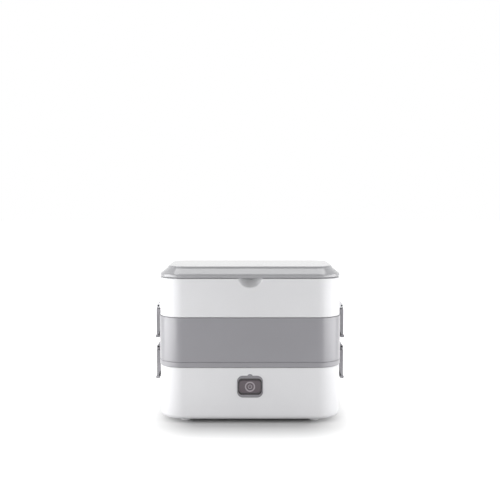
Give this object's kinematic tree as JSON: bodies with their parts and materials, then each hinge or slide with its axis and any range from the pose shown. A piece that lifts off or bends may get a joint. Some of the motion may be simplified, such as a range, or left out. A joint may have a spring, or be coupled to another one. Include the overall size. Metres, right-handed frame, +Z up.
{
  "type": "electric lunch box",
  "caption": "Stacked electric lunch box: heated base, steaming tier, cover with tray and hinged lid, side clips, lidded steel bowls inside.",
  "frame": {"origin": "middle of the box on the surface that it stands on, at the underside of the feet", "axes": "+X to the right seen from the front, front and power key towards -Y, +Z up"},
  "size_m": [0.2518, 0.1266, 0.202],
  "materials": {
    "white_shell": "satin white moulded plastic",
    "bottom_plastic": "fine grained light grey plastic",
    "foot_rubber": "soft white rubber",
    "pan_steel": "drawn stainless steel",
    "heater_aluminium": "bare aluminium",
    "strap_steel": "plated steel strap",
    "screw_steel": "plated steel screws",
    "pin_steel": "drawn steel pins",
    "ceramic": "unglazed ceramic",
    "inlet_black": "black plastic",
    "contact_brass": "plated brass",
    "bezel_grey": "grey satin plastic",
    "switch_black": "black plastic",
    "board_green": "green laminate",
    "lens_smoke": "smoked clear plastic",
    "key_charcoal": "charcoal satin plastic",
    "lead_insulation": "silicone insulated leads",
    "grey_tier": "satin warm grey moulded plastic",
    "grey_deck": "grey moulded plastic",
    "silicone": "translucent silicone",
    "grey_clip": "grey moulded plastic",
    "grey_lid": "satin grey moulded plastic",
    "bowl_steel": "mirror polished stainless steel",
    "bowl_lid_white": "frosted white plastic"
  },
  "bodies": {
    "base": {"base_shell": "white_shell", "bottom_cover": "bottom_plastic", "foot_front_left": "foot_rubber", "foot_front_right": "foot_rubber", "foot_rear_left": "foot_rubber", "foot_rear_right": "foot_rubber", "water_pan": "pan_steel", "heater_plate": "heater_aluminium", "ptc_element": "heater_aluminium", "heater_clamp": "strap_steel", "clamp_screws": "screw_steel", "thermostat": "ceramic", "thermal_fuse": "ceramic", "terminal_block": "ceramic", "inlet_socket": "inlet_black", "inlet_pins": "contact_brass", "switch_bezel": "bezel_grey", "switch_body": "switch_black", "switch_board": "board_green", "board_screws": "screw_steel", "indicator_lens": "lens_smoke", "wiring": "lead_insulation", "base_screws": "screw_steel"},
    "power_key": {"power_key": "key_charcoal"},
    "tier": {"tier_shell": "grey_tier", "steam_deck": "grey_deck", "tier_seal": "silicone", "clip_pin_lower_left": "pin_steel", "clip_pin_lower_right": "pin_steel"},
    "cover": {"cover_shell": "white_shell", "cover_seal": "silicone", "clip_pin_upper_left": "pin_steel", "clip_pin_upper_right": "pin_steel", "lid_pin_left": "pin_steel", "lid_pin_right": "pin_steel"},
    "lid": {"lid": "grey_lid"},
    "clip_lower_left": {"clip_lower_left": "grey_clip"},
    "bowl_lower_left": {"bowl_lower_left": "bowl_steel"},
    "bowl_lid_lower_left": {"bowl_lid_lower_left": "bowl_lid_white", "bowl_seal_lower_left": "silicone"},
    "clip_lower_right": {"clip_lower_right": "grey_clip"},
    "bowl_lower_right": {"bowl_lower_right": "bowl_steel"},
    "bowl_lid_lower_right": {"bowl_lid_lower_right": "bowl_lid_white", "bowl_seal_lower_right": "silicone"},
    "clip_upper_left": {"clip_upper_left": "grey_clip"},
    "bowl_upper_left": {"bowl_upper_left": "bowl_steel"},
    "bowl_lid_upper_left": {"bowl_lid_upper_left": "bowl_lid_white", "bowl_seal_upper_left": "silicone"},
    "clip_upper_right": {"clip_upper_right": "grey_clip"},
    "bowl_upper_right": {"bowl_upper_right": "bowl_steel"},
    "bowl_lid_upper_right": {"bowl_lid_upper_right": "bowl_lid_white", "bowl_seal_upper_right": "silicone"}
  },
  "joints": [
    {"name": "tier_lift", "type": "slide", "parent": "base", "child": "tier", "axis": [0, 0, 1], "range_m": [0, 0.09]},
    {"name": "cover_lift", "type": "slide", "parent": "tier", "child": "cover", "axis": [0, 0, 1], "range_m": [0, 0.09]},
    {"name": "lid_hinge", "type": "hinge", "parent": "cover", "child": "lid", "pos_m": [0, 0.0601, 0.1897], "axis": [-1, 0, 0], "range_deg": [0, 100]},
    {"name": "power_key_push", "type": "slide", "parent": "base", "child": "power_key", "axis": [0, 1, 0], "range_m": [0, 0.0015], "stiffness_N_per_m": 400, "springref_m": -0.001},
    {"name": "clip_lower_left_hinge", "type": "hinge", "parent": "tier", "child": "clip_lower_left", "pos_m": [-0.1215, 0, 0.092], "axis": [0, 1, 0], "range_deg": [0, 120]},
    {"name": "clip_lower_right_hinge", "type": "hinge", "parent": "tier", "child": "clip_lower_right", "pos_m": [0.1215, 0, 0.092], "axis": [0, -1, 0], "range_deg": [0, 120]},
    {"name": "clip_upper_left_hinge", "type": "hinge", "parent": "cover", "child": "clip_upper_left", "pos_m": [-0.1215, 0, 0.1468], "axis": [0, 1, 0], "range_deg": [0, 120]},
    {"name": "clip_upper_right_hinge", "type": "hinge", "parent": "cover", "child": "clip_upper_right", "pos_m": [0.1215, 0, 0.1468], "axis": [0, -1, 0], "range_deg": [0, 120]},
    {"name": "bowl_lower_left_lift", "type": "slide", "parent": "base", "child": "bowl_lower_left", "axis": [0, 0, 1], "range_m": [0, 0.04]},
    {"name": "bowl_lid_lower_left_lift", "type": "slide", "parent": "bowl_lower_left", "child": "bowl_lid_lower_left", "axis": [0, 0, 1], "range_m": [0, 0.014]},
    {"name": "bowl_lower_right_lift", "type": "slide", "parent": "base", "child": "bowl_lower_right", "axis": [0, 0, 1], "range_m": [0, 0.04]},
    {"name": "bowl_lid_lower_right_lift", "type": "slide", "parent": "bowl_lower_right", "child": "bowl_lid_lower_right", "axis": [0, 0, 1], "range_m": [0, 0.014]},
    {"name": "bowl_upper_left_lift", "type": "slide", "parent": "tier", "child": "bowl_upper_left", "axis": [0, 0, 1], "range_m": [0, 0.04]},
    {"name": "bowl_lid_upper_left_lift", "type": "slide", "parent": "bowl_upper_left", "child": "bowl_lid_upper_left", "axis": [0, 0, 1], "range_m": [0, 0.014]},
    {"name": "bowl_upper_right_lift", "type": "slide", "parent": "tier", "child": "bowl_upper_right", "axis": [0, 0, 1], "range_m": [0, 0.04]},
    {"name": "bowl_lid_upper_right_lift", "type": "slide", "parent": "bowl_upper_right", "child": "bowl_lid_upper_right", "axis": [0, 0, 1], "range_m": [0, 0.014]}
  ],
  "couplings": [
    {"joint": "clip_lower_left_hinge", "follows": "tier_lift", "rad_per_m": 23.27},
    {"joint": "clip_lower_right_hinge", "follows": "tier_lift", "rad_per_m": 23.27},
    {"joint": "clip_upper_left_hinge", "follows": "cover_lift", "rad_per_m": 23.27},
    {"joint": "clip_upper_right_hinge", "follows": "cover_lift", "rad_per_m": 23.27},
    {"joint": "bowl_lower_left_lift", "follows": "tier_lift", "ratio": 0.44},
    {"joint": "bowl_lid_lower_left_lift", "follows": "tier_lift", "ratio": 0.15},
    {"joint": "bowl_lower_right_lift", "follows": "tier_lift", "ratio": 0.44},
    {"joint": "bowl_lid_lower_right_lift", "follows": "tier_lift", "ratio": 0.15},
    {"joint": "bowl_upper_left_lift", "follows": "cover_lift", "ratio": 0.44},
    {"joint": "bowl_lid_upper_left_lift", "follows": "cover_lift", "ratio": 0.15},
    {"joint": "bowl_upper_right_lift", "follows": "cover_lift", "ratio": 0.44},
    {"joint": "bowl_lid_upper_right_lift", "follows": "cover_lift", "ratio": 0.15}
  ]
}
